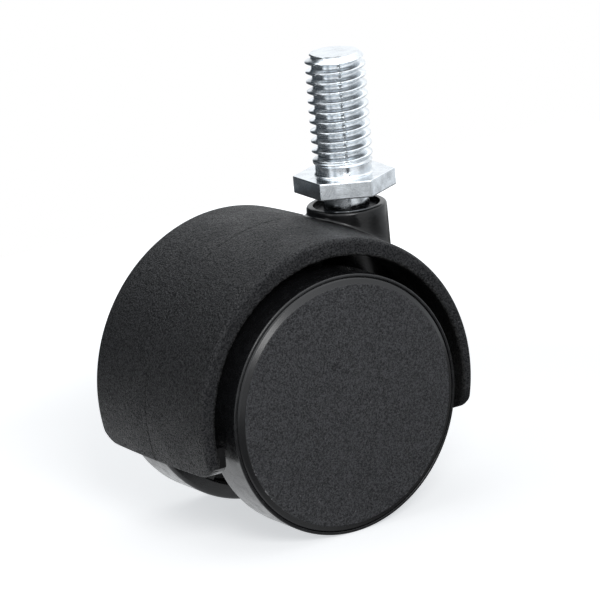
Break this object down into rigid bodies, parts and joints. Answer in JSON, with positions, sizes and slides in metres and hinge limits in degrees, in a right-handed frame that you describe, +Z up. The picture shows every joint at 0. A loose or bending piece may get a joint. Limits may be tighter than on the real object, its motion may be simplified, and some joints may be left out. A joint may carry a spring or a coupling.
{
  "type": "chair caster wheel",
  "caption": "Twin-wheel swivel caster with a hood over both wheels and a threaded stud on a hex flange, for an office chair's leg.",
  "frame": {"origin": "on the stem's axis, in the upper face of the hex flange, which seats against the chair", "axes": "+Z up along the stem and out of the stud's tip; the axle runs along Y behind the stem, towards -X; +Y is the left wheel"},
  "size_m": [0.0515, 0.0352, 0.0715],
  "materials": {
    "zinc_plate": "bright zinc plating",
    "spring_steel": "oiled spring steel",
    "axle_steel": "drawn steel",
    "bush_plastic": "self-lubricating acetal",
    "hood_plastic": "fine-grained moulding",
    "wheel_plastic": "smooth, glossy tread",
    "cover_plastic": "fine-grained face with a glossy border"
  },
  "bodies": {
    "stem": {"stem": "zinc_plate", "stem_retaining_ring": "spring_steel"},
    "housing": {"housing": "hood_plastic", "stem_bush": "bush_plastic", "thrust_disc": "spring_steel", "axle": "axle_steel", "axle_lock_washer_left": "spring_steel", "axle_lock_washer_right": "spring_steel"},
    "wheel_left": {"wheel_left": "wheel_plastic", "wheel_cover_left": "cover_plastic"},
    "wheel_right": {"wheel_right": "wheel_plastic", "wheel_cover_right": "cover_plastic"}
  },
  "joints": [
    {"name": "swivel", "type": "hinge", "parent": "stem", "child": "housing", "pos_m": [0, 0, 0], "axis": [0, 0, 1], "continuous": true},
    {"name": "roll_left", "type": "hinge", "parent": "housing", "child": "wheel_left", "pos_m": [-0.0142, 0, -0.0315], "axis": [0, 1, 0], "continuous": true},
    {"name": "roll_right", "type": "hinge", "parent": "housing", "child": "wheel_right", "pos_m": [-0.0142, 0, -0.0315], "axis": [0, 1, 0], "continuous": true}
  ]
}
